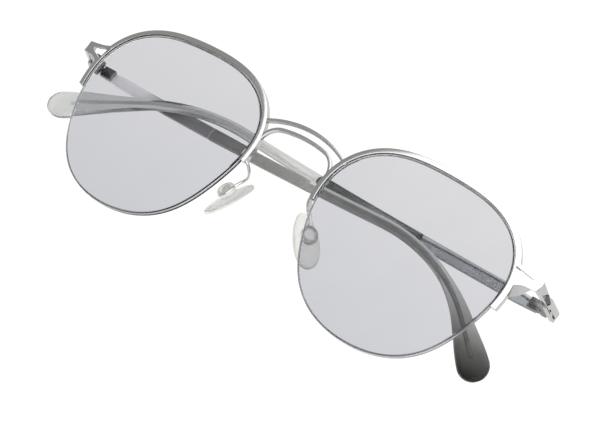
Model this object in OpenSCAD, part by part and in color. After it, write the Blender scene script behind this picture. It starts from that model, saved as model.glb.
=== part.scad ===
// Half rim eyeglasses: a one-piece titanium sheet front with a double bridge, lenses held from below
// by a nylon cord, adjustable nose pads, and spring-metal temples with clear acetate tips.
// The glasses lie folded, front up, on their temples. +X is the viewer's right, +Z is up.

/* [Lenses] */
// Distance between the two lenses at their nearest
lens_gap = 22; // [18:0.5:24]
// Mean radius of the lens outline
lens_r = 23.6; // [22:0.1:25]
// Thickness of a lens
lens_t = 2; // [1.8:0.1:2.4]
// Radius of the lens's front surface
base_curve_r = 129; // [100:1:180]
// Angle by which each lens turns back towards its temple
face_form = 3.4; // [0:0.1:6]

/* [Front frame] */
// Radial width of the half rim
rim_w = 1.35; // [1:0.05:1.6]
// Depth of the half rim from front to back
rim_depth = 1.9; // [1.6:0.1:2.4]
// Width of each bridge bar
bar_w = 0.9; // [0.7:0.05:1.4]
// Thickness of the sheet
sheet_t = 0.9; // [0.7:0.05:1.1]
// Length of the side plate behind the front
side_plate_l = 12; // [11.8:0.1:12.2]

/* [Nose pads] */
// Length of a nose pad
pad_l = 13.6; // [11:0.1:15]
// Width of a nose pad
pad_w = 7.2; // [6:0.1:8]
// Thickness of a nose pad
pad_t = 2.3; // [2.1:0.1:2.6]

/* [Temples] */
// Length of a temple along its curve, from the hinge to the tip
temple_l = 140; // [138:0.5:142]
// Height of the metal strip
strip_h = 3.1; // [2.6:0.1:3.4]
// Thickness of the metal strip
strip_t = 0.9; // [0.7:0.05:1]
// Length of the bare metal strip before the acetate starts
strip_l = 36; // [30:1:40]
// Downward bend of the ear end of the right temple
ear_bend_right = 33; // [31:1:36]
// Downward bend of the ear end of the left temple
ear_bend_left = 42; // [39:1:44]
// Height of the acetate at its widest, at the tip
tip_h = 7.7; // [7:0.1:8]
// Angle by which the temples slope down when they are open
pantoscopic = 9; // [8:0.5:10]

/* [Rest] */
// Tilt of the front as the glasses lie on their folded temples
lie_tilt = 24.64; // [0:0.01:30]
// Sideways roll in that position
lie_roll = -0.56; // [-3:0.01:3]
// Height of the frame centre over the table
lie_height = 14.733; // [0:0.01:30]

/* [Hidden] */
$fn = 48;

// Brings the middle of the lying glasses over the origin
lie_shift = [0.301, -0.882];

silver = "silver";
clear = [0.85, 0.87, 0.87, 0.5];

// Lens outline, as seen from in front
lens_x = lens_gap / 2 + lens_r + 1.0;
outline_step = 2.5;
half_rim_from = -0.5;
half_rim_to = 177;
sheet_front = 0.15;
liner_gap = 0.25;
groove_depth = 0.45;
groove_w = 0.56;
cord_w = 0.5;
lens_mid = base_curve_r - lens_t / 2;

// Bridge and end pieces
bridge_front = -1.4;
bridge_t = 1.1;
top_bar_r = 25;
top_bar_y = 15.2;
low_bar_y = 12.9;
low_bar_r = 30;
low_bar_mid = 6;
low_bar_end_r = 4.87;
end_piece_root = [60, 0, -3.85];
end_piece_slope = 17;
fold = [66.01, 9.2, -5.95];
side_plate_splay = 11.5;
side_plate_h = 2.8;

// Flat shapes of the end piece, in its own plane, and of the side plate, seen from outside
end_piece_outline = [[-0.9, 11.4], [0.1, 11.2], [1.9, 10.9], [4.0, 10.75], [6.75, 10.67], [6.75, 7.93],
    [5.1, 7.7], [3.3, 7.5], [2.1, 7.0], [1.2, 6.3], [0.7, 6.3], [0.2, 7.4], [-0.7, 10.4]];
end_hole = [[-0.35, 10.45], [1.4, 10.25], [3.1, 10.0], [4.55, 9.85], [4.5, 8.95], [3.6, 8.5], [2.7, 8.3],
    [1.9, 7.95], [1.1, 7.6], [0.6, 7.55], [0.35, 7.9], [0.15, 8.8], [-0.15, 9.8]];
flange_front = [[1.2, 6.4, -0.15], [2.1, 7.05, -0.15], [3.3, 7.55, -0.15], [4.2, 7.66, -0.15],
    [5.1, 7.75, -0.15]];
flange_back = [[1.75, 3.9, -1.5], [2.9, 4.95, -2.1], [3.75, 5.85, -2.2], [4.4, 6.85, -1.8],
    [5.1, 7.6, -0.8]];
flange_t = [0, 0.37, -0.4];
window = [[2.2, -0.7], [6.2, -0.72], [7.0, 0.45], [3.9, 0.95], [3.0, 0.15]];
slot_corners = [[7.7, -0.8], [11.3, -0.8], [11.45, -0.3], [7.85, -0.3]];

// Nose pads: plate_at is the centre of the arm's round plate, and pad_turn lays the pad on the nose
plate_at = [12.34, -5.33, -7.06];
pad_turn = [16, 46, 51];
plate_r = 2.35;
plate_t = 0.45;
neck_r = 1.15;
button_r = 2.2;
button_h = 1.3;
pad_drop = 0.75;
arm_w = 1.3;
arm_t = 0.5;
arm_path = [[9.9, 2.2, -2.2], [9.3, 1.6, -2.9], [8.9, 0.9, -4.0], [8.8, 0.2, -5.2], [9.1, -0.6, -6.2],
    [9.9, -1.6, -6.8], [10.8, -2.8, -6.95], [11.45, -3.95, -6.95]];

// Hinges: each axis stands hinge_off inside the middle of the side plate
hinge_at = [66.35, 7.8, -15.8];
hinge_off = 1.65;
knuckle_r = 1.1;
knuckle_h = 0.95;
mid_knuckle_h = 1.0;
hinge_screw_r = 0.48;
screw_play = 0.04;

// Temples: [right, left] where the two sides differ
temple_lift = [2.0, -0.8];
temple_fold = [-1.72, 0];
ear_bend = [ear_bend_right, ear_bend_left];
ear_bend_start = 88.7;
ear_bend_r = 48;
bow_end = 80;
bow_start_slope = -0.04;
bow_curve = 0.0018;
bow_kink = 0.008;
core_plate_end = 66;
strip_start = 2.5;
core_end = temple_l - 6;

// ---------------------------------------------------------------- shared geometry

// Radius of the lens outline at angle a, measured from the temple side upwards
function outline_r(a, off = 0) = lens_r + off + 1.07 * cos(2 * a) - 0.16 * sin(2 * a) + 1.24 * sin(3 * a)
    - 0.53 * cos(4 * a) - 0.13 * sin(a) + 0.19 * sin(5 * a) - 0.05 * cos(6 * a);
function outline_point(a, off) = outline_r(a, off) * [cos(a), sin(a)];

module outline_disc(off) {
    polygon([for (a = [0:outline_step:360 - outline_step]) outline_point(a, off)]);
}

// Ring between two offsets of the lens outline, from angle a0 to a1
module outline_ring(inner, outer, a0, a1) {
    steps = round((a1 - a0) / outline_step);
    angles = [for (i = [0:steps]) a0 + (a1 - a0) * i / steps];
    polygon(concat([for (a = angles) outline_point(a, outer)],
        [for (i = [steps:-1:0]) outline_point(angles[i], inner)]));
}

// Cuts an extruded outline to a layer of the lens's curved body, from radius outer down to inner
module curved_layer(outer, inner) {
    intersection() {
        translate([0, 0, -14]) linear_extrude(20) children();
        translate([0, 0, -base_curve_r]) difference() {
            sphere(outer, $fn = 200);
            sphere(inner, $fn = 200);
        }
    }
}

module at_lens() {
    translate([lens_x, 0, 0]) rotate([0, face_form, 0]) children();
}

// Right-hand pieces are drawn as they are, left-hand ones are their mirror image
module on_side(side) {
    mirror([side < 0 ? 1 : 0, 0, 0]) children();
}

// Lays the whole object on the table
module lying() {
    translate([lie_shift[0], lie_shift[1], lie_height]) rotate([lie_tilt, lie_roll, 0]) children();
}

// Solid through a list of rings with equal numbers of points, closed at both ends
module skin(rings) {
    n = len(rings[0]);
    m = len(rings);
    polyhedron(
        points = [for (ring = rings) for (p = ring) p],
        faces = concat(
            [[for (j = [n - 1:-1:0]) j]],
            [for (i = [0:m - 2]) for (j = [0:n - 1]) each let (k = (j + 1) % n)
                [[i * n + j, i * n + k, (i + 1) * n + k], [i * n + j, (i + 1) * n + k, (i + 1) * n + j]]],
            [[for (j = [0:n - 1]) (m - 1) * n + j]]));
}

// Flat band of width w along a list of 2-D points
module ribbon(path, w) {
    last = len(path) - 1;
    sides = [for (i = [0:last]) let (d = path[min(i + 1, last)] - path[max(i - 1, 0)])
        [-d[1], d[0]] / norm(d) * w / 2];
    polygon(concat([for (i = [0:last]) path[i] + sides[i]], [for (i = [last:-1:0]) path[i] - sides[i]]));
}

// Rounded rectangle of half sizes a and b in two given directions, as a ring of n points round c
function round_ring(c, da, a, db, b, n, power) = [for (j = [0:n - 1]) let (t = 360 * (j + 0.5) / n)
    c + da * a * sign(cos(t)) * pow(abs(cos(t)), power) + db * b * sign(sin(t)) * pow(abs(sin(t)), power)];

// ---------------------------------------------------------------- front frame

module at_end_piece() {
    translate(end_piece_root) rotate([0, end_piece_slope, 0]) children();
}

// The three-cornered hole reaches into the rim and leaves a narrow band round the lens there
module half_rim() {
    difference() {
        at_lens() curved_layer(base_curve_r + sheet_front, base_curve_r + sheet_front - rim_depth)
            outline_ring(liner_gap, liner_gap + rim_w, half_rim_from, half_rim_to);
        at_end_piece() translate([0, 0, -5]) linear_extrude(10) polygon(end_hole);
    }
}

module bridge() {
    top_span = 12.4;
    top_path = [for (x = [-top_span:top_span / 12:top_span])
        [x, top_bar_y - top_bar_r + sqrt(top_bar_r * top_bar_r - x * x)]];
    low_mid = [for (i = [-5:5]) let (x = low_bar_mid * i / 5) [x, low_bar_y - x * x / 2 / low_bar_r]];
    end_c = [low_bar_mid - 0.2 * low_bar_end_r, low_bar_y - low_bar_mid * low_bar_mid / 2 / low_bar_r
        - 0.98 * low_bar_end_r];
    right_end = [for (a = [70:-10:-10]) end_c + low_bar_end_r * [cos(a), sin(a)]];
    left_end = [for (a = [-10:10:70]) [-end_c[0], end_c[1]] + low_bar_end_r * [-cos(a), sin(a)]];
    translate([0, 0, bridge_front - bridge_t]) linear_extrude(bridge_t) {
        ribbon(top_path, bar_w);
        ribbon(concat(left_end, low_mid, right_end), bar_w);
    }
}

// The two struts between the rim and the fold, and the flange under the lower one
module end_piece() {
    last = len(flange_front) - 1;
    at_end_piece() {
        translate([0, 0, -sheet_t]) linear_extrude(sheet_t) difference() {
            polygon(end_piece_outline);
            polygon(end_hole);
        }
        skin([for (i = [0:last]) [flange_front[i], flange_front[i] + flange_t, flange_back[i] + flange_t,
            flange_back[i]]]);
    }
}

module side_plate() {
    cut = 3;
    translate(fold) rotate([-pantoscopic, 0, 0]) rotate([0, -side_plate_splay, 0]) difference() {
        translate([-sheet_t / 2, -side_plate_h / 2, -side_plate_l])
            cube([sheet_t, side_plate_h, side_plate_l + 0.1]);
        rotate([0, 90, 0]) translate([0, 0, -cut / 2]) linear_extrude(cut) {
            polygon(window);
            polygon(slot_corners);
        }
    }
}

module front_frame() {
    color(silver) union() {
        bridge();
        for (side = [1, -1]) on_side(side) {
            half_rim();
            end_piece();
            side_plate();
        }
    }
}

// ---------------------------------------------------------------- lenses and what holds them

module lens() {
    color([0.78, 0.79, 0.82, 0.4]) at_lens() difference() {
        curved_layer(base_curve_r, base_curve_r - lens_t) outline_disc(0);
        curved_layer(lens_mid + groove_w / 2, lens_mid - groove_w / 2)
            difference() {
                outline_disc(2);
                outline_disc(-groove_depth);
            }
    }
}

module rim_liner() {
    color("dimgray") at_lens() curved_layer(lens_mid + cord_w / 2, lens_mid - cord_w / 2)
        outline_ring(0.04 - groove_depth, liner_gap, half_rim_from, half_rim_to);
}

module lens_cord() {
    color("gainsboro") at_lens() curved_layer(lens_mid + cord_w / 2, lens_mid - cord_w / 2)
        outline_ring(0.04 - groove_depth, 0.04 - groove_depth + cord_w,
            half_rim_to + 0.2, 360 + half_rim_from - 0.2);
}

// ---------------------------------------------------------------- nose pads

module at_pad() {
    translate(plate_at) rotate(pad_turn) children();
}

// Direction across the arm's strip, which is the pad's own X
strip_way = [0.437, 0.54, -0.719];

// Flat strip bent from the rim's lower end to the round plate that the pad is buttoned on
module pad_arm() {
    last = len(arm_path) - 1;
    rings = [for (i = [0:0.5:last]) let (
        lo = floor(i),
        hi = min(lo + 1, last),
        before = arm_path[max(lo - 1, 0)],
        after = arm_path[min(hi + 1, last)],
        mid = (arm_path[lo] + arm_path[hi]) / 2,
        c = lo == i ? arm_path[lo] : mid + (mid - (before + after) / 2) / 8,
        d = lo == i ? arm_path[hi] - before : arm_path[hi] - arm_path[lo],
        face_way = cross(d, strip_way),
        a = face_way / norm(face_way),
        cross_way = cross(a, d),
        b = cross_way / norm(cross_way))
        [c + a * arm_t / 2 + b * arm_w / 2, c - a * arm_t / 2 + b * arm_w / 2,
         c - a * arm_t / 2 - b * arm_w / 2, c + a * arm_t / 2 - b * arm_w / 2]];
    color(silver) union() {
        skin(rings);
        at_pad() translate([0, 0, -plate_t / 2]) difference() {
            cylinder(h = plate_t, r = plate_r);
            translate([0, 0, -1]) cylinder(h = 3, r = neck_r + 0.02);
        }
    }
}

// Flat teardrop, wider at its lower end, with a neck and a button on its back
module nose_pad() {
    sides = 20;
    steps = 18;
    pad_mid = -plate_t / 2 - pad_drop - pad_t / 2;
    slot_top = plate_t / 2 + 0.02;
    rings = [for (i = [0:steps]) let (
        t = -cos(180 * (i + 0.35) / (steps + 0.7)),
        reach = sqrt(1 - t * t),
        wide = pad_w / 2 * reach * (1 - 0.18 * t),
        thick = pad_t / 2 * pow(reach, 0.6),
        c = [0.25 * (1 - t * t), t * pad_l / 2 - 0.6, pad_mid])
        round_ring(c, [1, 0, 0], wide, [0, 0, 1], thick, sides, 0.8)];
    color(clear) at_pad() union() {
        skin(rings);
        rotate_extrude() polygon(concat([[0, pad_mid], [button_r, pad_mid + 0.2],
            [button_r, -slot_top], [neck_r, -slot_top], [neck_r, slot_top]],
            [for (a = [0:15:90]) [button_r * pow(cos(a), 0.7), slot_top + button_h * sin(a)]]));
    }
}

// ---------------------------------------------------------------- hinges

// Frame of one hinge: Y is the axis, X points outwards, Z towards the front
module at_hinge(turn) {
    translate(hinge_at) rotate([-pantoscopic, 0, 0]) rotate([0, turn, 0]) children();
}

module knuckle(h) {
    rotate([90, 0, 0]) translate([0, 0, -h / 2]) cylinder(h = h, r = knuckle_r);
}

module hinge_bore() {
    rotate([90, 0, 0]) translate([0, 0, -5]) cylinder(h = 10, r = hinge_screw_r + screw_play);
}

// Block and finger that tie a knuckle at height y to the plate or strip beside it
module finger(y, h, reach) {
    translate([0, y, 0]) knuckle(h);
    translate([0, y - h / 2, 0]) cube([hinge_off - sheet_t / 2, h, reach]);
}

knuckle_pitch = mid_knuckle_h / 2 + knuckle_h / 2 + 0.05;
hinge_block_from = 1.45;
hinge_block_to = 4.6;
hinge_block_h = 2.5;

module hinge_front() {
    color(silver) at_hinge(-side_plate_splay) difference() {
        union() {
            for (y = [-knuckle_pitch, knuckle_pitch]) finger(y, knuckle_h, hinge_block_to);
            translate([0.15, -hinge_block_h / 2, hinge_block_from])
                cube([hinge_off - sheet_t / 2 - 0.15, hinge_block_h, hinge_block_to - hinge_block_from]);
        }
        hinge_bore();
    }
}

module hinge_temple(s) {
    color(silver) at_hinge(temple_fold[s]) rotate([0, -90, 0]) difference() {
        union() {
            mirror([1, 0, 0]) finger(0, mid_knuckle_h, hinge_block_to);
            translate([strip_t / 2 - hinge_off, -1.35, hinge_block_from])
                cube([hinge_off - strip_t / 2 - 0.15, 2.7, hinge_block_to - hinge_block_from]);
        }
        hinge_bore();
    }
}

module hinge_screw() {
    top = knuckle_pitch + knuckle_h / 2;
    color(silver) at_hinge(0) rotate([-90, 0, 0]) {
        translate([0, 0, -top]) cylinder(h = 2 * top + 0.1, r = hinge_screw_r);
        translate([0, 0, top + 0.02]) difference() {
            cylinder(h = 0.4, r = 0.9);
            translate([-1, -0.12, 0.22]) cube([2, 0.24, 1]);
        }
    }
}

// ---------------------------------------------------------------- temples

// Frame of one folded temple: -X runs along the temple, Y is its height, Z points to the front
module at_temple(s) {
    at_hinge(temple_fold[s]) rotate([0, 0, -temple_lift[s]]) children();
}

// Distance of the temple's middle from the hinge axis, towards the front, at length u
function bow(u) = u < bow_end ? bow_start_slope * u + bow_curve * u * u / 2 - hinge_off
    : bow(bow_end - 0.001) + (bow_start_slope + bow_curve * bow_end + bow_kink) * (u - bow_end);

// Place and slope [u, v, angle] along the temple's curve at length l, for side s
function along(l, s) = let (turn = min(max(l - ear_bend_start, 0) / ear_bend_r * 180 / PI, ear_bend[s]),
    bent = ear_bend_start + turn * PI / 180 * ear_bend_r,
    rest = max(l - bent, 0))
    [min(l, ear_bend_start) + ear_bend_r * sin(turn) + rest * cos(turn),
     -ear_bend_r * (1 - cos(turn)) - rest * sin(turn), turn];

// Edge of a band that follows the temple's curve, at distance d above its middle
function edge(l, s, d) = let (p = along(l, s)) [-(p[0] + d * sin(p[2])), p[1] + d * cos(p[2])];

function core_half_h(l) = l < strip_l + 0.5 ? strip_h / 2 : l < core_plate_end ? 1.15 : 0.55;

module temple_bar(s) {
    lengths = concat([strip_start, 4.2], [for (l = [8:7:strip_l]) l], [strip_l + 0.4, strip_l + 0.6],
        [50, core_plate_end - 0.1, core_plate_end + 1.5, 78],
        [for (l = [ear_bend_start:4:core_end]) l], [core_end]);
    taper = [for (l = lengths) l < 8 ? strip_h / 2 - 0.35 * (1 - l / 8) : core_half_h(l)];
    last = len(lengths) - 1;
    reach = along(core_end, s)[0];
    steps = 24;
    bow_at = [for (i = [0:steps]) reach * i / steps];
    color(silver) at_temple(s) intersection() {
        translate([0, 0, -10]) linear_extrude(30)
            polygon(concat([for (i = [0:last]) edge(lengths[i], s, taper[i])],
                [for (i = [last:-1:0]) edge(lengths[i], s, -taper[i])]));
        rotate([90, 0, 0]) translate([0, 0, -20]) linear_extrude(60)
            polygon(concat([for (u = bow_at) [-u, bow(u) + strip_t / 2]],
                [for (i = [steps:-1:0]) [-bow_at[i], bow(bow_at[i]) - strip_t / 2]]));
    }
}

// Half height of the acetate at length l
function tip_half_h(l) = lookup(l, [[strip_l, 1.7], [55, 1.5], [80, 1.4], [100, 1.3], [112, 1.4],
    [117, 1.75], [122, 2.2], [127, 2.8], [temple_l - 7, tip_h / 2 - 0.15], [temple_l, tip_h / 2]]);
function tip_half_t(l) = lookup(l, [[strip_l, 1.25], [95, 1.1], [128, 1.25], [temple_l, 1.6]]);

// How far the ends are rounded in, from 0 at the very end to 1
function end_round(l) = let (a = min((l - strip_l + 0.6) / 1.4, 1), b = min((temple_l - l + 0.08) / 4.2, 1))
    sqrt(1 - pow(1 - a, 2)) * sqrt(1 - pow(1 - b, 2));

module temple_tip(s) {
    sides = 20;
    lengths = concat([strip_l, strip_l + 0.3, strip_l + 0.8], [for (l = [strip_l + 4:9:84]) l],
        [for (l = [ear_bend_start:3.5:temple_l - 6]) l],
        [for (d = [4, 2.8, 1.8, 1.1, 0.5, 0.15, 0]) temple_l - d]);
    rings = [for (l = lengths) let (p = along(l, s), k = end_round(l))
        round_ring([-p[0], p[1], bow(p[0])], [-sin(p[2]), cos(p[2]), 0], tip_half_h(l) * k,
            [0, 0, 1], tip_half_t(l) * pow(k, 0.7), sides, 0.72)];
    color(clear) at_temple(s) skin(rings);
}

// ---------------------------------------------------------------- nodes

lying() front_frame();
lying() on_side(1) lens();  // lens_right
lying() on_side(-1) lens();  // lens_left
lying() on_side(1) rim_liner();  // rim_liner_right
lying() on_side(-1) rim_liner();  // rim_liner_left
lying() on_side(1) lens_cord();  // lens_cord_right
lying() on_side(-1) lens_cord();  // lens_cord_left
lying() on_side(1) pad_arm();  // pad_arm_right
lying() on_side(-1) pad_arm();  // pad_arm_left
lying() on_side(1) nose_pad();  // nose_pad_right
lying() on_side(-1) nose_pad();  // nose_pad_left
lying() on_side(1) hinge_front();  // hinge_front_right
lying() on_side(-1) hinge_front();  // hinge_front_left
lying() on_side(1) hinge_screw();  // hinge_screw_right
lying() on_side(-1) hinge_screw();  // hinge_screw_left
lying() on_side(1) hinge_temple(0);  // hinge_temple_right
lying() on_side(-1) hinge_temple(1);  // hinge_temple_left
lying() on_side(1) temple_bar(0);  // temple_bar_right
lying() on_side(-1) temple_bar(1);  // temple_bar_left
lying() on_side(1) temple_tip(0);  // temple_tip_right
lying() on_side(-1) temple_tip(1);  // temple_tip_left
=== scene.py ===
"""Half rim eyeglasses lying folded in a white studio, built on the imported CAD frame."""

import math

import bmesh
import bpy
from mathutils import Matrix, Vector, geometry


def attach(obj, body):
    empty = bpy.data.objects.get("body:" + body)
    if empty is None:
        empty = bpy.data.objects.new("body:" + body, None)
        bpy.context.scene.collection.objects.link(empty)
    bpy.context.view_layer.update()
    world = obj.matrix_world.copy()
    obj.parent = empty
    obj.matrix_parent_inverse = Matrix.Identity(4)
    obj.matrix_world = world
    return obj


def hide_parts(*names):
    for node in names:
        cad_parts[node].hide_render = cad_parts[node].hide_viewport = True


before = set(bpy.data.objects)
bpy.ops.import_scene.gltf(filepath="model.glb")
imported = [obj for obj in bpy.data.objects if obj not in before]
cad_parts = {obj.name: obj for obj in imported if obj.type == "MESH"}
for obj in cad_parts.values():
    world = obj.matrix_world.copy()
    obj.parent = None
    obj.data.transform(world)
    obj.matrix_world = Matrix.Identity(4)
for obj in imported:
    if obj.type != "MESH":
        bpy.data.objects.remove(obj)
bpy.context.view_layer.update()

# The glasses' own frame is in millimetres: X to the viewer's right, Y up the lenses, Z out of the front,
# with its origin between the lenses. LAY turns it into the row frame. Angles are in degrees.
LAY = (Matrix.Scale(0.001, 4) @ Matrix.Translation((0.301, -0.882, 14.733))
       @ Matrix.Rotation(math.radians(-0.56), 4, "Y") @ Matrix.Rotation(math.radians(24.64), 4, "X"))
MIRROR = Matrix.Diagonal((-1, 1, 1, 1))
SIDES = (("right", 0, Matrix.Identity(4)), ("left", 1, MIRROR))

# Lenses and rims: each profile is measured outwards from the lens outline and back from the lens front
LENS_R = 23.6  # mean radius of the outline
BRIDGE_W = 22
LENS_X = BRIDGE_W / 2 + LENS_R + 1.0
LENS_T = 2.0
BASE_R = 129.0  # radius of the lens's curved front
FACE_FORM = 3.4  # turn of each lens towards its temple
RIM_W = 1.35
RIM_DEPTH = 1.9
SHEET_FRONT = 0.15  # how far the half rim stands in front of the lens's edge
LINER_GAP = 0.25
RIM_FROM, RIM_TO = -0.5, 177.0  # the half rim's ends, as angles of the outline
GROOVE_DEPTH, GROOVE_W, CORD_W = 0.45, 0.56, 0.5
CORD_SEAT = 0.04 - GROOVE_DEPTH  # offset of the cord's inner side
EDGE_CUT = 0.13  # bevel of the lens's edges

# Sheet parts. Outlines are (x, y) in the sheet's own plane, and the flange has (x, y, z) there.
SHEET_T = 0.9
BAR_W, BRIDGE_T, BRIDGE_FRONT = 0.9, 1.1, -1.4
PANTOSCOPIC = 9.0  # tilt of the side plates and temples to the front
SPLAY = 11.5  # outward turn of the side plates
FOLD = (66.01, 9.2, -5.95)  # where the sheet turns back into the side plate
END_ROOT, END_SLOPE = (60.0, 0.0, -3.85), 17.0  # origin of the end piece's plane, and its turn back
PLATE_L, PLATE_H = 12.0, 2.8
END_OUTLINE = ((-0.9, 11.4), (0.1, 11.2), (1.9, 10.9), (4.0, 10.75), (6.75, 10.67), (6.75, 7.93),
               (5.1, 7.7), (3.3, 7.5), (2.1, 7.0), (1.2, 6.3), (0.7, 6.3), (0.2, 7.4), (-0.7, 10.4))
END_HOLE = ((-0.35, 10.45), (1.4, 10.25), (3.1, 10.0), (4.55, 9.85), (4.5, 8.95), (3.6, 8.5), (2.7, 8.3),
            (1.9, 7.95), (1.1, 7.6), (0.6, 7.55), (0.35, 7.9), (0.15, 8.8), (-0.15, 9.8))
FLANGE_FRONT = ((1.2, 6.4, -0.15), (2.1, 7.05, -0.15), (3.3, 7.55, -0.15), (4.2, 7.66, -0.15),
                (5.1, 7.75, -0.15))
FLANGE_BACK = ((1.75, 3.9, -1.5), (2.9, 4.95, -2.1), (3.75, 5.85, -2.2), (4.4, 6.85, -1.8),
               (5.1, 7.6, -0.8))
FLANGE_T = Vector((0, 0.37, -0.4))  # across its thickness
WINDOW = ((2.2, -0.7), (6.2, -0.72), (7.0, 0.45), (3.9, 0.95), (3.0, 0.15))
SLOT = ((7.7, -0.8), (11.3, -0.8), (11.45, -0.3), (7.85, -0.3))

# Nose pads: PAD_AT is the middle of the arm's round plate, and ARM_PATH the middle of the strip
PAD_AT = (12.34, -5.33, -7.06)
PAD_TURN = (16, 46, 51)
PAD_L, PAD_W, PAD_T = 13.6, 7.2, 2.3
DISC_R, DISC_T, NECK_R, BUTTON_R, BUTTON_H, PAD_DROP = 2.35, 0.45, 1.15, 2.2, 1.3, 0.75
ARM_W, ARM_T = 1.3, 0.5
ARM_PATH = ((9.9, 2.2, -2.2), (9.3, 1.6, -2.9), (8.9, 0.9, -4.0), (8.8, 0.2, -5.2), (9.1, -0.6, -6.2),
            (9.9, -1.6, -6.8), (10.8, -2.8, -6.95), (11.45, -3.95, -6.95))

# Temples, with [right, left] where they differ
HINGE_AT = (66.35, 7.8, -15.8)
HINGE_OFF = 1.65  # from the hinge axis to the middle of the strip
LIFT, FOLDED = (2.0, -0.8), (-1.72, 0.0)  # raise of the folded temple's far end, and its turn to the lens
EAR_BEND = (33.0, 42.0)
BEND_START, BEND_R = 88.7, 48.0
TEMPLE_L, STRIP_L, STRIP_H, STRIP_T = 140.0, 36.0, 3.1, 0.9
STRIP_START = 2.5
TIP_H = 7.7
PLATE_END, CORE_END = 66.0, 134.0
PLATE_HALF_H, WIRE_HALF_H = 1.15, 0.55
TIP_HALF_H = ((STRIP_L, 1.7), (55, 1.5), (80, 1.4), (100, 1.3), (112, 1.4), (117, 1.75), (122, 2.2),
              (127, 2.8), (TEMPLE_L - 7, TIP_H / 2 - 0.15), (TEMPLE_L, TIP_H / 2))
TIP_HALF_T = ((STRIP_L, 1.25), (95, 1.1), (128, 1.25), (TEMPLE_L, 1.6))
TIP_TRIM_H, TIP_TRIM_T = 0.98, 0.9  # keep the rounded tip inside the CAD solid's box

# Stage: the drop, in metres, is more than the open temples reach below the lying front
FLOOR_DROP = 0.15
SOFTBOX_RADIANCE = 1.9


# ------------------------------------------------------------------ mesh helpers

def rot(angle, axis):
    """Turn by an angle in degrees about an axis."""
    return Matrix.Rotation(math.radians(angle), 4, axis)


def lookup(x, table):
    """Straight-line interpolation in a list of (x, y)."""
    if x <= table[0][0]:
        return table[0][1]
    for (x0, y0), (x1, y1) in zip(table, table[1:]):
        if x <= x1:
            return y0 + (y1 - y0) * (x - x0) / (x1 - x0)
    return table[-1][1]


def smooth_curve(points, n):
    """Catmull-Rom curve through points, n steps to each span."""
    pts = [Vector(p) for p in points]
    ends = [2 * pts[0] - pts[1]] + pts + [2 * pts[-1] - pts[-2]]
    out = []
    for i in range(len(pts) - 1):
        p0, p1, p2, p3 = ends[i:i + 4]
        for k in range(n):
            t = k / n
            out.append(0.5 * (2 * p1 + (p2 - p0) * t + (2 * p0 - 5 * p1 + 4 * p2 - p3) * t * t
                              + (3 * p1 - p0 - 3 * p2 + p3) * t ** 3))
    return out + [pts[-1]]


def rounded_box(a, b, r, n=4):
    """Rounded rectangle with half sizes a and b, as a list of (x, y), anticlockwise."""
    r = min(r, a, b)
    out = []
    for k, (cx, cy) in enumerate(((a - r, b - r), (r - a, b - r), (r - a, r - b), (a - r, r - b))):
        for i in range(n + 1):
            t = math.radians(90 * k + 90 * i / n)
            out.append((cx + r * math.cos(t), cy + r * math.sin(t)))
    return out


def skin(bm, rings):
    """Joins equal rings of points with quads, and returns the rings' vertices."""
    rows = [[bm.verts.new(p) for p in ring] for ring in rings]
    n = len(rows[0])
    for a, b in zip(rows, rows[1:]):
        for j in range(n):
            bm.faces.new((a[j], a[(j + 1) % n], b[(j + 1) % n], b[j]))
    return rows


def loft(bm, rings):
    """Solid through equal rings of points, with flat ends."""
    rows = skin(bm, rings)
    bm.faces.new(rows[0][::-1])
    bm.faces.new(rows[-1])


def finish_mesh(name, bm, place, material, sharp=35):
    """Turns a bmesh into an object in the row frame, smooth except at edges over the sharp angle."""
    bmesh.ops.remove_doubles(bm, verts=bm.verts, dist=1e-4)
    bm.transform(LAY @ place)
    bmesh.ops.recalc_face_normals(bm, faces=bm.faces)
    for f in bm.faces:
        f.smooth = True
    for e in bm.edges:
        e.smooth = len(e.link_faces) == 2 and e.calc_face_angle(0) < math.radians(sharp)
    mesh = bpy.data.meshes.new(name)
    bm.to_mesh(mesh)
    bm.free()
    mesh.materials.append(material)
    obj = bpy.data.objects.new(name, mesh)
    bpy.context.collection.objects.link(obj)
    return obj


def add_bevel(obj, width, angle):
    """Rounds the edges over an angle by a width in millimetres."""
    mod = obj.modifiers.new("edges", "BEVEL")
    mod.width = width / 1000
    mod.segments = 2
    mod.limit_method = "ANGLE"
    mod.angle_limit = math.radians(angle)
    return mod


def plate_mesh(bm, outer, holes, z0, z1, place):
    """Flat plate with holes between heights z0 and z1, put in place by a matrix."""
    loops = [outer] + list(holes)
    flat = [Vector((x, y, 0)) for loop in loops for x, y in loop]
    tris = geometry.tessellate_polygon([[Vector((x, y, 0)) for x, y in loop] for loop in loops])
    levels = [[bm.verts.new(place @ Vector((p.x, p.y, z))) for p in flat] for z in (z0, z1)]
    for t in tris:
        bm.faces.new([levels[0][i] for i in t])
        bm.faces.new([levels[1][i] for i in reversed(t)])
    start = 0
    for loop in loops:
        n = len(loop)
        for i in range(n):
            a, b = start + i, start + (i + 1) % n
            bm.faces.new((levels[0][a], levels[0][b], levels[1][b], levels[1][a]))
        start += n


def fillet(points, r, n=3):
    """Rounds a polygon's corners, each by radius r or as much as fits."""
    out = []
    count = len(points)
    for i in range(count):
        p, a, b = Vector(points[i]), Vector(points[i - 1]), Vector(points[(i + 1) % count])
        u, v = a - p, b - p
        cut = min(r, u.length * 0.45, v.length * 0.45)
        s, e = p + u.normalized() * cut, p + v.normalized() * cut
        for k in range(n + 1):
            t = k / n
            out.append(tuple(s * (1 - t) ** 2 + p * 2 * t * (1 - t) + e * t * t))
    return out


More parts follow.
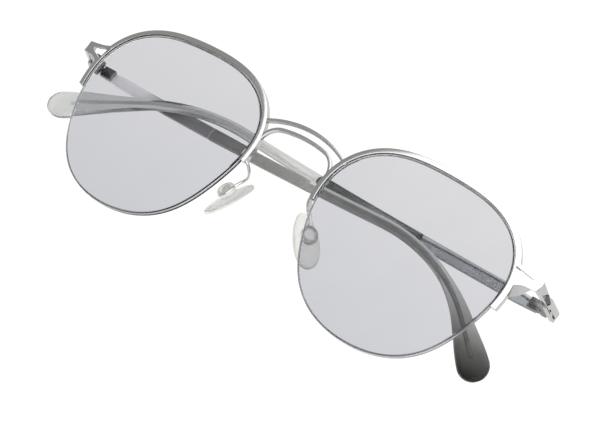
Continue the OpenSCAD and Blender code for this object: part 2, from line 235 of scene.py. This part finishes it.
def combine(obj, other, operation):
    """Applies a boolean of two mesh objects to the first and removes the second."""
    mod = obj.modifiers.new("combine", "BOOLEAN")
    mod.operation = operation
    mod.object = other
    mod.solver = "EXACT"
    graph = bpy.context.evaluated_depsgraph_get()
    mesh = bpy.data.meshes.new_from_object(obj.evaluated_get(graph))
    obj.modifiers.clear()
    obj.data = mesh
    bpy.data.objects.remove(other)


def stand_for(obj, body, slot, *nodes):
    """Lets a piece ride on a body, in place of the CAD nodes named. The slot argument is not used."""
    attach(obj, body)
    if nodes:
        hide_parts(*nodes)
    return obj


# ------------------------------------------------------------------ materials

def new_material(name):
    """A material with its nodes, its links and its shader."""
    mat = bpy.data.materials.new(name)
    mat.use_nodes = True
    tree = mat.node_tree
    return mat, tree.nodes, tree.links, tree.nodes["Principled BSDF"]


def object_noise(nodes, links, scale, detail):
    """Noise in the row frame; scale is features per metre."""
    coord = nodes.new("ShaderNodeTexCoord")
    noise = nodes.new("ShaderNodeTexNoise")
    noise.inputs["Scale"].default_value = scale
    noise.inputs["Detail"].default_value = detail
    links.new(coord.outputs["Object"], noise.inputs["Vector"])
    return noise.outputs["Fac"]


def ramp(nodes, links, source, low, high, at=(0.3, 0.7)):
    """Value that goes from low to high while the source crosses the stretch at."""
    node = nodes.new("ShaderNodeMapRange")
    node.inputs["From Min"].default_value = at[0]
    node.inputs["From Max"].default_value = at[1]
    node.inputs["To Min"].default_value = low
    node.inputs["To Max"].default_value = high
    links.new(source, node.inputs["Value"])
    return node.outputs["Result"]


def colour_ramp(nodes, links, source, stops):
    """Colour picked by the source from stops of (position, colour)."""
    node = nodes.new("ShaderNodeValToRGB")
    elements = node.color_ramp.elements
    while len(elements) < len(stops):
        elements.new(0.5)
    for element, (pos, colour) in zip(elements, stops):
        element.position = pos
        element.color = (*colour, 1)
    links.new(source, node.inputs["Fac"])
    return node.outputs["Color"]


def axis_ramp(nodes, links, space, axis, low, high, at):
    """Value that goes from low to high along one axis of a texture space."""
    coord = nodes.new("ShaderNodeTexCoord")
    split = nodes.new("ShaderNodeSeparateXYZ")
    links.new(coord.outputs[space], split.inputs["Vector"])
    return ramp(nodes, links, split.outputs[axis], low, high, at)


def add_bump(nodes, links, shader, source, strength):
    """Bumps 0.02 mm high at full strength."""
    bump = nodes.new("ShaderNodeBump")
    bump.inputs["Strength"].default_value = strength
    bump.inputs["Distance"].default_value = 0.00002
    links.new(source, bump.inputs["Height"])
    links.new(bump.outputs["Normal"], shader.inputs["Normal"])


def metal(name, light, dark, rough_low, rough_high, grain=0.25, metallic=1.0):
    """Satin metal: fine grain in the bump, and slow changes of colour and polish."""
    mat, nodes, links, shader = new_material(name)
    shader.inputs["Metallic"].default_value = metallic
    slow = object_noise(nodes, links, 120, 3)
    fine = object_noise(nodes, links, 2600, 6)
    links.new(colour_ramp(nodes, links, slow, ((0.3, dark), (0.7, light))), shader.inputs["Base Color"])
    links.new(ramp(nodes, links, fine, rough_low, rough_high), shader.inputs["Roughness"])
    add_bump(nodes, links, shader, fine, grain)
    return mat


def see_through(name, tint, shadow_tint, rough_low, rough_high, ior, bump=0.05, scale=400):
    """Clear plastic or glass that lets lamps through, so that its shadow is light."""
    mat, nodes, links, shader = new_material(name)
    shader.inputs["Transmission Weight"].default_value = 1.0
    shader.inputs["IOR"].default_value = ior
    slow = object_noise(nodes, links, scale, 3)
    shade = tuple(c * 0.97 for c in tint)
    links.new(colour_ramp(nodes, links, slow, ((0.3, shade), (0.7, tint))), shader.inputs["Base Color"])
    links.new(ramp(nodes, links, slow, rough_low, rough_high), shader.inputs["Roughness"])
    add_bump(nodes, links, shader, slow, bump)
    clear = nodes.new("ShaderNodeBsdfTransparent")
    clear.inputs["Color"].default_value = (*shadow_tint, 1)
    path = nodes.new("ShaderNodeLightPath")
    mix = nodes.new("ShaderNodeMixShader")
    links.new(path.outputs["Is Shadow Ray"], mix.inputs["Fac"])
    links.new(shader.outputs["BSDF"], mix.inputs[1])
    links.new(clear.outputs["BSDF"], mix.inputs[2])
    links.new(mix.outputs["Shader"], nodes["Material Output"].inputs["Surface"])
    return mat


def grade(mat, axis, at, stops):
    """Colours a material by its place along one axis of the row frame, in metres; in this script it paints
    in shadow, shade and reflection.
    """
    nodes, links = mat.node_tree.nodes, mat.node_tree.links
    share = axis_ramp(nodes, links, "Object", axis, 0.0, 1.0, at)
    links.new(colour_ramp(nodes, links, share, stops), nodes["Principled BSDF"].inputs["Base Color"])
    return mat


def dim_reflection(mat, tint):
    """Takes the lamps' image off a clear material, as a coating does."""
    mat.node_tree.nodes["Principled BSDF"].inputs["Specular Tint"].default_value = (tint, tint, tint, 1)
    return mat


def lens_material():
    """Coated lens, a little darker towards its lower edge: painted shadow of the glasses on the table
    below.
    """
    mat = see_through("lens_glass", (0.62, 0.62, 0.64), (0.86, 0.86, 0.88), 0.0, 0.012, 1.5, 0.01, 60)
    grade(mat, "Y", (-0.022, 0.016), ((0.0, (0.575, 0.58, 0.61)), (1.0, (0.655, 0.655, 0.675))))
    return dim_reflection(mat, 0)


def shaded_tip_acetate():
    """Grey acetate with painted shade: it grows almost black towards the end of the temple, and its
    reflection is dimmed to keep that end dark.
    """
    mat = see_through("acetate_painted_shade", (0.50, 0.505, 0.49), (0.6, 0.6, 0.6), 0.03, 0.09, 1.48)
    grade(mat, "Y", (-0.0135, 0.006), ((0.0, (0.01, 0.01, 0.009)), (0.3, (0.09, 0.09, 0.085)),
                                       (0.6, (0.32, 0.32, 0.31)), (1.0, (0.56, 0.565, 0.55))))
    return dim_reflection(mat, 0.1)


def strip_painted_reflection():
    """Polished strip with a painted reflection: bright near its hinge, where it catches the light, and
    turning grey towards the acetate.
    """
    mat = metal("strip_painted_reflection", (0.90, 0.90, 0.90), (0.80, 0.80, 0.80), 0.12, 0.20, 0.15, 0.45)
    return grade(mat, "X", (-0.058, -0.036),
                 ((0.3, (0.95, 0.95, 0.95)), (0.65, (0.2, 0.2, 0.2)), (1.0, (0.3, 0.3, 0.3))))


def make_materials():
    """Every material by its name in this script."""
    return {
        "titanium": metal("satin_titanium", (0.50, 0.50, 0.49), (0.46, 0.46, 0.455), 0.15, 0.24),
        # Painted shade: the right strip is a darker copy of the same metal, dark grey where it is seen in
        # shadow.
        "strip_right": metal("strip_painted_shade", (0.27, 0.28, 0.285), (0.23, 0.24, 0.245), 0.10, 0.17, 0.15),
        # Painted reflection: the left strip is coloured bright near its hinge and grey further on.
        "strip_left": strip_painted_reflection(),
        # Painted shade: the hinge metal is made near black where the hinges sit in shade.
        "hinge": metal("hinge_painted_shade", (0.24, 0.24, 0.24), (0.10, 0.10, 0.10), 0.12, 0.22, 0.3),
        "lens": lens_material(),
        # Painted highlight: the right core is a near-white, lit copy of the same wire.
        "core_right": metal("core_painted_highlight", (0.97, 0.97, 0.97), (0.90, 0.90, 0.90), 0.18, 0.28, 0.1, 0.6),
        # Painted shade: the left core is a dimmer, less metallic copy of the same wire.
        "core_left": metal("core_painted_shade", (0.50, 0.50, 0.49), (0.44, 0.44, 0.43), 0.18, 0.28, 0.1, 0.3),
        "acetate_right": see_through("crystal_acetate", (0.62, 0.63, 0.61), (0.7, 0.7, 0.7),
                                     0.05, 0.16, 1.48),
        # The left tip's darkening towards its end is painted shade.
        "acetate_left": shaded_tip_acetate(),
        "silicone": see_through("clear_silicone", (0.76, 0.76, 0.73), (0.88, 0.88, 0.87),
                                0.30, 0.42, 1.41, 0.2, 900),
        "nylon": see_through("clear_nylon", (0.92, 0.92, 0.92), (0.85, 0.85, 0.85), 0.08, 0.16, 1.53),
    }


# ------------------------------------------------------------------ lens outline

def outline_r(a, off=0.0):
    """Distance of the lens outline from its centre at an angle in degrees, plus an offset."""
    def c(k):
        return math.cos(math.radians(k * a))

    def s(k):
        return math.sin(math.radians(k * a))

    return (LENS_R + off + 1.07 * c(2) - 0.16 * s(2) + 1.24 * s(3) - 0.53 * c(4) - 0.13 * s(1)
            + 0.19 * s(5) - 0.05 * c(6))


def lens_place(mirror):
    """Middle of a lens's front, turned with its face form."""
    return mirror @ Matrix.Translation((LENS_X, 0, 0)) @ rot(FACE_FORM, "Y")


def on_lens(a, off, depth, share=1.0):
    """Point at an offset from the lens outline, depth behind the front surface."""
    r = outline_r(a, off) * share
    x, y = r * math.cos(math.radians(a)), r * math.sin(math.radians(a))
    return Vector((x, y, math.sqrt((BASE_R - depth) ** 2 - x * x - y * y) - BASE_R))


def arc(a0, a1):
    """Angles from a0 to a1, about a degree apart."""
    n = round(a1 - a0)
    return [a0 + (a1 - a0) * i / n for i in range(n + 1)]


# ------------------------------------------------------------------ front

def make_rims(bm):
    """Both half rims: a flat band with softened edges."""
    section = rounded_box(RIM_W / 2, RIM_DEPTH / 2, 0.16, 3)
    mid_off, mid_depth = LINER_GAP + RIM_W / 2, RIM_DEPTH / 2 - SHEET_FRONT
    for _, _, mirror in SIDES:
        place = lens_place(mirror)
        rings = [[place @ on_lens(a, mid_off + p, mid_depth + q) for p, q in section]
                 for a in arc(RIM_FROM, RIM_TO)]
        loft(bm, rings)


def ribbon_rings(path, half_w, z_mid, half_t, r):
    """Rounded sections of a bar that follows a path in a plane facing the front."""
    rings = []
    last = len(path) - 1
    for i, p in enumerate(path):
        d = (path[min(i + 1, last)] - path[max(i - 1, 0)]).normalized()
        side = Vector((-d.y, d.x))
        rings.append([Vector((p.x + side.x * u, p.y + side.y * u, z_mid + v))
                      for u, v in rounded_box(half_w, half_t, r, 3)])
    return rings


def make_bridge(bm):
    """Two bars: a wide arch on top, and a flatter one below whose ends turn down to the rims."""
    top_r, top_y, span = 25.0, 15.2, 12.4
    low_y, low_r, mid, end_r = 12.9, 30.0, 6.0, 4.87
    z_mid = BRIDGE_FRONT - BRIDGE_T / 2
    top = [Vector((span * i / 30, top_y - top_r + math.sqrt(top_r ** 2 - (span * i / 30) ** 2)))
           for i in range(-30, 31)]
    centre = Vector((mid - 0.2 * end_r, low_y - mid * mid / 2 / low_r - 0.98 * end_r))
    turn = [centre + end_r * Vector((math.cos(math.radians(a)), math.sin(math.radians(a))))
            for a in range(72, -14, -4)]
    middle = [Vector((mid * i / 12, low_y - (mid * i / 12) ** 2 / 2 / low_r)) for i in range(-11, 12)]
    low = [Vector((-p.x, p.y)) for p in reversed(turn)] + middle + turn
    for path in (top, low):
        loft(bm, ribbon_rings(path, BAR_W / 2, z_mid, BRIDGE_T / 2, 0.14))


def end_place(mirror):
    """Plane of an end piece's front face."""
    return mirror @ Matrix.Translation(END_ROOT) @ rot(END_SLOPE, "Y")


def make_end_pieces(bm):
    """The sheet from rim to fold with its three-cornered hole, and the flange under its lower strut."""
    for _, _, mirror in SIDES:
        place = end_place(mirror)
        plate_mesh(bm, fillet(END_OUTLINE, 0.3), (fillet(END_HOLE, 0.2),), -SHEET_T, 0, place)
        front, back = smooth_curve(FLANGE_FRONT, 4), smooth_curve(FLANGE_BACK, 4)
        loft(bm, [[place @ p for p in (f, f + FLANGE_T, b + FLANGE_T, b)] for f, b in zip(front, back)])


def make_side_plates(bm):
    """The sheet turned back along the head, with a kite-shaped window and a slot."""
    half_t, half_h = SHEET_T / 2, PLATE_H / 2
    outer = [(-0.1, half_h), (-0.1, -half_h)] + fillet(
        ((PLATE_L / 2, -half_h), (PLATE_L, -half_h), (PLATE_L, half_h), (PLATE_L / 2, half_h)), 0.5)
    for _, _, mirror in SIDES:
        place = (mirror @ Matrix.Translation(FOLD) @ rot(-PANTOSCOPIC, "X") @ rot(-SPLAY, "Y")
                 @ rot(90, "Y"))
        plate_mesh(bm, outer, (fillet(WINDOW, 0.15), fillet(SLOT, 0.1)), -half_t, half_t, place)


def cut_holes(front):
    """Takes the three-cornered holes out of the rims too."""
    bm = bmesh.new()
    for _, _, mirror in SIDES:
        plate_mesh(bm, fillet(END_HOLE, 0.2), (), -5, 5, end_place(mirror))
    cutter = finish_mesh("end_hole_cutter", bm, Matrix.Identity(4), front.data.materials[0])
    combine(front, cutter, "DIFFERENCE")


def make_front(mats):
    """The cut and bent front in three meshes, which together replace one CAD node."""
    bm = bmesh.new()
    make_rims(bm)
    front = finish_mesh("front_rims", bm, Matrix.Identity(4), mats["titanium"], 60)
    cut_holes(front)
    stand_for(front, "front", "titanium", "front_frame")
    bm = bmesh.new()
    make_bridge(bm)
    bridge = finish_mesh("double_bridge", bm, Matrix.Identity(4), mats["titanium"], 60)
    stand_for(bridge, "front", "titanium")
    bm = bmesh.new()
    make_end_pieces(bm)
    make_side_plates(bm)
    plates = finish_mesh("end_pieces_and_side_plates", bm, Matrix.Identity(4), mats["titanium"])
    add_bevel(plates, 0.09, 40).harden_normals = True
    for e in plates.data.edges:
        e.use_edge_sharp = False
    stand_for(plates, "front", "titanium")


# ------------------------------------------------------------------ lenses

def make_lens(side, mirror, mats):
    """Curved lens with bevelled edges and the groove that the cord lies in."""
    g0, g1 = LENS_T / 2 - GROOVE_W / 2, LENS_T / 2 + GROOVE_W / 2
    shares = (0.25, 0.5, 0.75, 0.9, 0.97)
    edge = [(-0.16, 0.0), (0.0, EDGE_CUT), (0.0, g0), (-GROOVE_DEPTH, g0), (-GROOVE_DEPTH, g1), (0.0, g1),
            (0.0, LENS_T - EDGE_CUT), (-0.16, LENS_T)]
    profile = [(0.0, 0.0, share) for share in shares]
    profile += [(off, depth, 1) for off, depth in edge]
    profile += [(0.0, LENS_T, share) for share in reversed(shares)]
    bm = bmesh.new()
    rows = skin(bm, [[on_lens(a, off, depth, share) for a in range(0, 360, 2)]
                     for off, depth, share in profile])
    n = len(rows[0])
    for row, depth in ((rows[0], 0.0), (rows[-1], LENS_T)):
        centre = bm.verts.new((0, 0, -depth))
        for j in range(n):
            bm.faces.new((row[j], row[(j + 1) % n], centre))
    lens = finish_mesh(f"lens_glass_{side}", bm, lens_place(mirror), mats["lens"], 25)
    stand_for(lens, "front", "lens_tint", f"lens_{side}")


def groove_line(a0, a1, off_mid, half_w, mirror, name, material):
    """Rounded line between two angles of a lens's edge, half_w to each side of an offset."""
    section = rounded_box(half_w, CORD_W / 2, CORD_W / 2)
    bm = bmesh.new()
    loft(bm, [[on_lens(a, off_mid + p, LENS_T / 2 + q) for p, q in section] for a in arc(a0, a1)])
    return finish_mesh(name, bm, lens_place(mirror), material, 60)


def make_liner(side, mirror, mats):
    """Nylon strip that fills the groove and the gap up to the half rim."""
    middle, half_w = (CORD_SEAT + LINER_GAP) / 2, (LINER_GAP - CORD_SEAT) / 2
    liner = groove_line(RIM_FROM, RIM_TO, middle, half_w, mirror, f"rim_liner_strip_{side}", mats["nylon"])
    stand_for(liner, "front", "nylon_dark", f"rim_liner_{side}")


def make_lens_cord(side, mirror, mats):
    """Nylon cord round the lower half of the lens."""
    cord = groove_line(RIM_TO + 0.2, 359.8 + RIM_FROM, CORD_SEAT + CORD_W / 2, CORD_W / 2, mirror,
                       f"lens_cord_line_{side}", mats["nylon"])
    stand_for(cord, "front", "nylon_clear", f"lens_cord_{side}")


# ------------------------------------------------------------------ nose pads

def pad_place(mirror):
    """Middle of the arm's round plate, with Z square to it."""
    x, y, z = PAD_TURN
    return mirror @ Matrix.Translation(PAD_AT) @ rot(z, "Z") @ rot(y, "Y") @ rot(x, "X")


def lathe(bm, profile, n, place):
    """Turns a profile of (radius, height) round the place's Z axis."""
    angles = [2 * math.pi * j / n for j in range(n)]
    return skin(bm, [[place @ Vector((r * math.cos(a), r * math.sin(a), z)) for a in angles]
                     for r, z in profile])


def make_pad_arm(side, mirror, mats):
    """Strip bent from the rim's lower end to the round plate under the pad."""
    plate = pad_place(Matrix.Identity(4))
    across = plate.to_3x3() @ Vector((1, 0, 0))
    path = smooth_curve(ARM_PATH, 6)
    last = len(path) - 1
    rings = []
    for i, p in enumerate(path):
        d = (path[min(i + 1, last)] - path[max(i - 1, 0)]).normalized()
        face = d.cross(across).normalized()
        wide = face.cross(d)
        rings.append([p + face * v + wide * u for u, v in rounded_box(ARM_W / 2, ARM_T / 2, 0.12, 2)])
    bm = bmesh.new()
    loft(bm, rings)
    half, soft = DISC_T / 2, 0.1
    ring = [(NECK_R, -half), (DISC_R - soft, -half), (DISC_R, soft - half), (DISC_R, half - soft),
            (DISC_R - soft, half), (NECK_R, half), (NECK_R, -half)]
    lathe(bm, ring, 64, plate)
    arm = finish_mesh(f"pad_arm_strip_{side}", bm, mirror, mats["titanium"], 40)
    stand_for(arm, "front", "titanium", f"pad_arm_{side}")


def make_nose_pad(side, mirror, mats):
    """Soft teardrop with a button on its back that holds it on the arm's plate."""
    mid = -DISC_T / 2 - PAD_DROP - PAD_T / 2
    steps, n = 40, 48
    rings = []
    for i in range(steps + 1):
        t = -math.cos(math.pi * (i + 0.2) / (steps + 0.4))
        reach = math.sqrt(1 - t * t)
        wide, thick = PAD_W / 2 * reach * (1 - 0.18 * t), PAD_T / 2 * reach ** 0.6
        ring = []
        for j in range(n):
            c, s = math.cos(2 * math.pi * j / n), math.sin(2 * math.pi * j / n)
            ring.append(Vector((0.25 * (1 - t * t) + wide * math.copysign(abs(c) ** 0.85, c),
                                t * PAD_L / 2 - 0.6, mid + thick * math.copysign(abs(s) ** 0.85, s))))
        rings.append(ring)
    bm = bmesh.new()
    loft(bm, rings)
    top = DISC_T / 2 + 0.02
    cap = [(BUTTON_R * math.cos(math.radians(a)) ** 0.7, top + BUTTON_H * math.sin(math.radians(a)))
           for a in range(0, 88, 6)]
    profile = [(BUTTON_R - 0.1, mid + 0.3), (BUTTON_R, mid + 0.5), (BUTTON_R, -top - 0.1),
               (BUTTON_R - 0.1, -top), (NECK_R, -top), (NECK_R, top), (BUTTON_R - 0.1, top)] + cap[1:]
    button = bmesh.new()
    rows = lathe(button, profile, n, Matrix.Identity(4))
    button.faces.new(rows[0][::-1])
    button.faces.new(rows[-1])
    pad = finish_mesh(f"nose_pad_silicone_{side}", bm, pad_place(mirror), mats["silicone"], 50)
    knob = finish_mesh(f"button_{side}", button, pad_place(mirror), mats["silicone"], 50)
    combine(pad, knob, "UNION")
    for poly in pad.data.polygons:
        poly.use_smooth = True
    stand_for(pad, "front", "silicone", f"nose_pad_{side}")


# ------------------------------------------------------------------ temples

def bow(u):
    """Distance of the temple's middle from the hinge axis, towards the front."""
    if u < 80:
        return -0.04 * u + 0.0009 * u * u - HINGE_OFF
    return bow(79.999) + 0.112 * (u - 80)


def along(l, s):
    """Place and turn (u, v, angle) along the temple's curve at length l."""
    turn = min(max(l - BEND_START, 0) / BEND_R, math.radians(EAR_BEND[s]))
    rest = max(l - BEND_START - turn * BEND_R, 0)
    return (min(l, BEND_START) + BEND_R * math.sin(turn) + rest * math.cos(turn),
            -BEND_R * (1 - math.cos(turn)) - rest * math.sin(turn), turn)


def temple_place(s, mirror):
    """Place of a folded temple: it starts at the hinge and runs along -X, with Y near the hinge's axis."""
    return (mirror @ Matrix.Translation(HINGE_AT) @ rot(-PANTOSCOPIC, "X") @ rot(FOLDED[s], "Y")
            @ rot(-LIFT[s], "Z"))


def temple_ring(l, s, half_h, half_t, r, n):
    """Rounded section of a temple at length l."""
    u, v, turn = along(l, s)
    up = Vector((-math.sin(turn), math.cos(turn), 0))
    section = rounded_box(half_h, half_t, r, n)
    return [Vector((-u, v, bow(u))) + up * p + Vector((0, 0, q)) for p, q in section]


def core_half_h(l):
    """Half height of the strip, which tapers to the hinge, and of the plate and wire that it ends in."""
    if l < 8:
        return STRIP_H / 2 - 0.35 * (1 - l / 8)
    return lookup(l, ((STRIP_L + 0.4, STRIP_H / 2), (STRIP_L + 0.6, PLATE_HALF_H),
                      (PLATE_END - 0.1, PLATE_HALF_H), (PLATE_END + 0.5, WIRE_HALF_H)))


def make_temple_bar(side, s, mirror, mats):
    """Flat strip from the hinge, which runs on inside the acetate as a plate and then a wire."""
    lengths = ([STRIP_START + 0.9 * i for i in range(37)] + [STRIP_L, STRIP_L + 0.4, STRIP_L + 0.6]
               + [STRIP_L + 1.5 + i * 1.5 for i in range(19)] + [PLATE_END - 0.1, PLATE_END + 0.5]
               + [PLATE_END + 2 + i * 1.5 for i in range(44)] + [CORE_END - 0.6, CORE_END])
    rings = [temple_ring(l, s, core_half_h(l), STRIP_T / 2, 0.12 if l < CORE_END else 0.3, 3)
             for l in lengths]
    bm = bmesh.new()
    loft(bm, rings)
    bar = finish_mesh(f"temple_strip_{side}", bm, temple_place(s, mirror), mats[f"strip_{side}"], 40)
    bar.data.materials.append(mats[f"core_{side}"])
    around, core_from = len(rings[0]), (PLATE_END, STRIP_L)[s]
    for poly in bar.data.polygons:
        if poly.index < around * (len(rings) - 1) and lengths[poly.index // around] >= core_from:
            poly.material_index = 1
    stand_for(bar, f"temple_{side}", "titanium", f"temple_bar_{side}")


def smooth_lookup(l, table, reach=3.0):
    """Mean of the table over a short stretch, which rounds its corners off."""
    return sum(lookup(l + reach * k / 4, table) for k in range(-4, 5)) / 9


def end_round(l):
    """Share of the full section at length l, which rounds both ends."""
    a = min((l - STRIP_L + 0.3) / 0.9, 1)
    b = min((TEMPLE_L - l + 0.03) / 4.2, 1)
    return math.sqrt(1 - (1 - a) ** 2) * math.sqrt(1 - (1 - b) ** 2)


def make_temple_tip(side, s, mirror, mats):
    """Clear end piece with softly bevelled edges, rounded at both ends."""
    lengths = ([STRIP_L + d for d in (0, 0.15, 0.35, 0.6, 1.0)] + [STRIP_L + 2 + 1.4 * i for i in range(70)]
               + [TEMPLE_L - d for d in (3.9, 3.4, 2.9, 2.4, 1.9, 1.5, 1.1, 0.8, 0.5, 0.3, 0.12, 0)])
    rings = []
    for l in lengths:
        k = end_round(l)
        half_h, half_t = smooth_lookup(l, TIP_HALF_H) * k, smooth_lookup(l, TIP_HALF_T) * k ** 0.7
        edge = 0.86 * min(half_t, half_h)
        rings.append(temple_ring(l, s, TIP_TRIM_H * half_h, TIP_TRIM_T * half_t, edge, 6))
    bm = bmesh.new()
    loft(bm, rings)
    name = f"temple_tip_acetate_{side}"
    tip = finish_mesh(name, bm, temple_place(s, mirror), mats[f"acetate_{side}"], 60)
    stand_for(tip, f"temple_{side}", "acetate", f"temple_tip_{side}")


# ------------------------------------------------------------------ hinges

def paint_hinges(mats):
    """Dark material, which paints in the shade the hinges sit in, and softened edges for the hinge halves
    and screws, which stay as CAD made them.
    """
    for name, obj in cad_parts.items():
        if name.startswith("hinge"):
            obj.data.materials.clear()
            obj.data.materials.append(mats["hinge"])
            add_bevel(obj, 0.06, 50)


# ------------------------------------------------------------------ stage

def make_floor():
    """Plain white ground, partly self-lit, low enough that the temples stay above it while they open."""
    bm = bmesh.new()
    bmesh.ops.create_grid(bm, x_segments=1, y_segments=1, size=3)
    mesh = bpy.data.meshes.new("floor")
    bm.to_mesh(mesh)
    bm.free()
    mat, nodes, links, shader = new_material("white_table")
    shader.inputs["Roughness"].default_value = 0.9
    shader.inputs["Specular IOR Level"].default_value = 0.1
    shader.inputs["Emission Color"].default_value = (1, 1, 1, 1)
    shader.inputs["Emission Strength"].default_value = 0.90
    paper = object_noise(nodes, links, 90, 3)
    links.new(colour_ramp(nodes, links, paper, ((0.3, (0.115, 0.115, 0.115)), (0.7, (0.13, 0.13, 0.13)))),
              shader.inputs["Base Color"])
    mesh.materials.append(mat)
    floor = bpy.data.objects.new("floor", mesh)
    floor.location.z = -FLOOR_DROP
    bpy.context.collection.objects.link(floor)


def make_world():
    """White studio, dimmer towards the left, which gives the metal its grey half."""
    world = bpy.data.worlds.new("studio")
    bpy.context.scene.world = world
    world.use_nodes = True
    nodes, links = world.node_tree.nodes, world.node_tree.links
    shade = axis_ramp(nodes, links, "Generated", "X", 0.50, 0.9, (-0.3, 0.3))
    background = nodes["Background"]
    background.inputs["Color"].default_value = (1, 1, 1, 1)
    links.new(shade, background.inputs["Strength"])


def make_softbox():
    """A wide softbox low over the right half, facing down, whose left edge shows in the rims."""
    light = bpy.data.lights.new("overhead", "AREA")
    light.shape = "RECTANGLE"
    light.size, light.size_y = 0.6, 0.8
    light.energy = math.pi * light.size * light.size_y * SOFTBOX_RADIANCE
    softbox = bpy.data.objects.new("overhead", light)
    softbox.location = (0.255, 0.0, 0.14)
    softbox.visible_camera = False
    bpy.context.collection.objects.link(softbox)


def make_camera():
    """A long lens from the lower right; its place and axes are in the glasses' own frame."""
    data = bpy.data.cameras.new("camera")
    data.sensor_width = 36.0
    data.lens = 138.0
    data.clip_start = 0.01
    data.dof.use_dof = False
    camera = bpy.data.objects.new("camera", data)
    right, down, ahead = (Vector(v).normalized() for v in (
        (0.77936, 0.55363, -0.29340), (0.42636, -0.81172, -0.39916), (-0.45915, 0.18600, -0.86867)))
    turn = Matrix((right, -down, -ahead)).transposed()
    lay = LAY.to_3x3() * 1000
    at = LAY @ Vector((247.093, -98.844, 447.748))
    camera.matrix_world = Matrix.Translation(at) @ (lay @ turn).to_4x4()
    bpy.context.collection.objects.link(camera)
    bpy.context.scene.camera = camera


def main():
    """Builds the studio, then the glasses."""
    make_camera()
    make_world()
    make_softbox()
    make_floor()
    mats = make_materials()
    make_front(mats)
    for side, s, mirror in SIDES:
        make_lens(side, mirror, mats)
        make_liner(side, mirror, mats)
        make_lens_cord(side, mirror, mats)
        make_pad_arm(side, mirror, mats)
        make_nose_pad(side, mirror, mats)
        make_temple_bar(side, s, mirror, mats)
        make_temple_tip(side, s, mirror, mats)
    paint_hinges(mats)
    scene = bpy.context.scene
    scene.view_settings.view_transform = "Standard"
    scene.view_settings.look = "None"


main()
